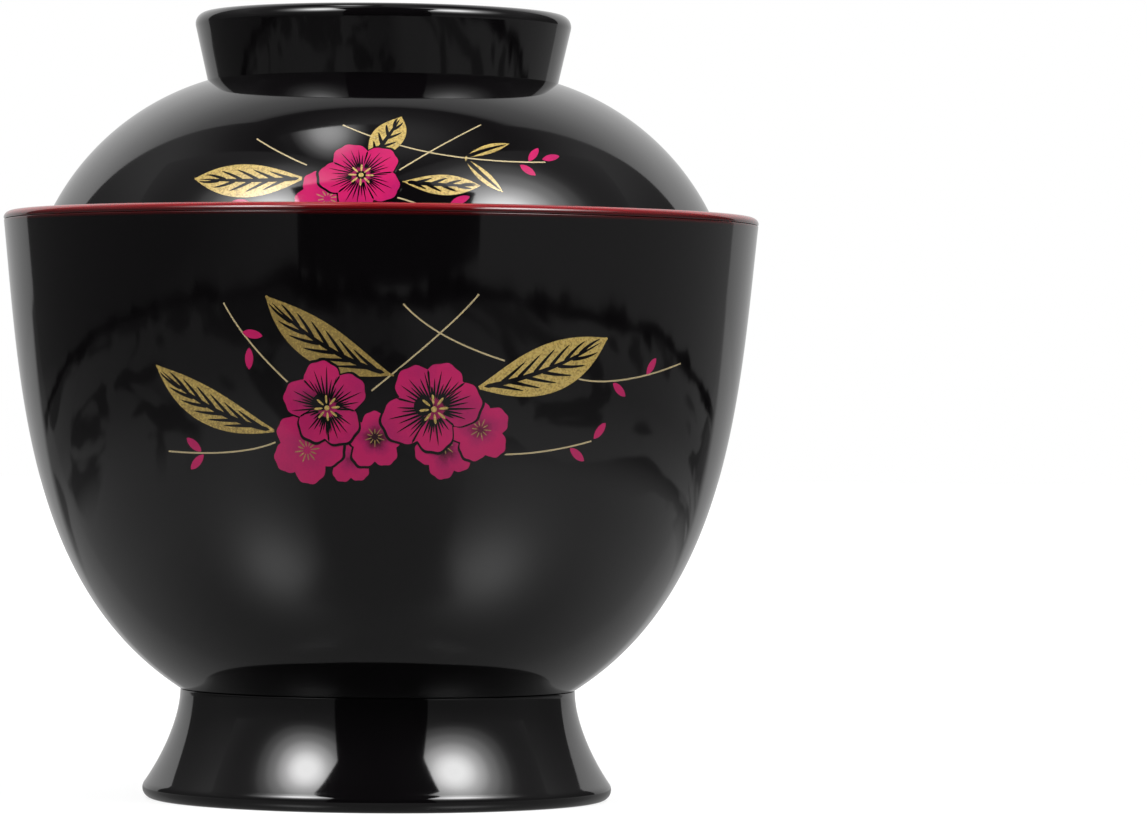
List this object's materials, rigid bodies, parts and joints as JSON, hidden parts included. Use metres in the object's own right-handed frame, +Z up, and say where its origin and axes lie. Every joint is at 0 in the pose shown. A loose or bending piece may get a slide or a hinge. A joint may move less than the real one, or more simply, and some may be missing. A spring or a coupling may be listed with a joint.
{
  "type": "lidded soup bowl",
  "caption": "Deep black lacquer-style soup bowl with a red inside, on a flared foot, with a domed lid that nests in the red rim and lifts off by a flared ring knob.",
  "frame": {"origin": "centre of the foot's underside, on the surface that the bowl stands on", "axes": "+Z up along the axis of turning; the printed front faces -Y; +X to the right seen from the front"},
  "size_m": [0.115, 0.115, 0.1196],
  "materials": {
    "black_lacquer": "black gloss lacquer over moulded plastic, mirror-like",
    "red_lacquer": "deep red gloss lacquer",
    "gold_print": "gold transfer print under clear lacquer",
    "pink_print": "magenta transfer print under clear lacquer"
  },
  "bodies": {
    "bowl": {"bowl_shell": "black_lacquer", "bowl_liner": "red_lacquer", "foot_ring": "black_lacquer"},
    "lid": {"lid_shell": "black_lacquer", "lid_liner": "red_lacquer", "lid_knob_ring": "black_lacquer"}
  },
  "joints": [
    {"name": "lid_lift", "type": "slide", "parent": "bowl", "child": "lid", "axis": [0, 0, 1], "range_m": [0, 0.1]}
  ]
}
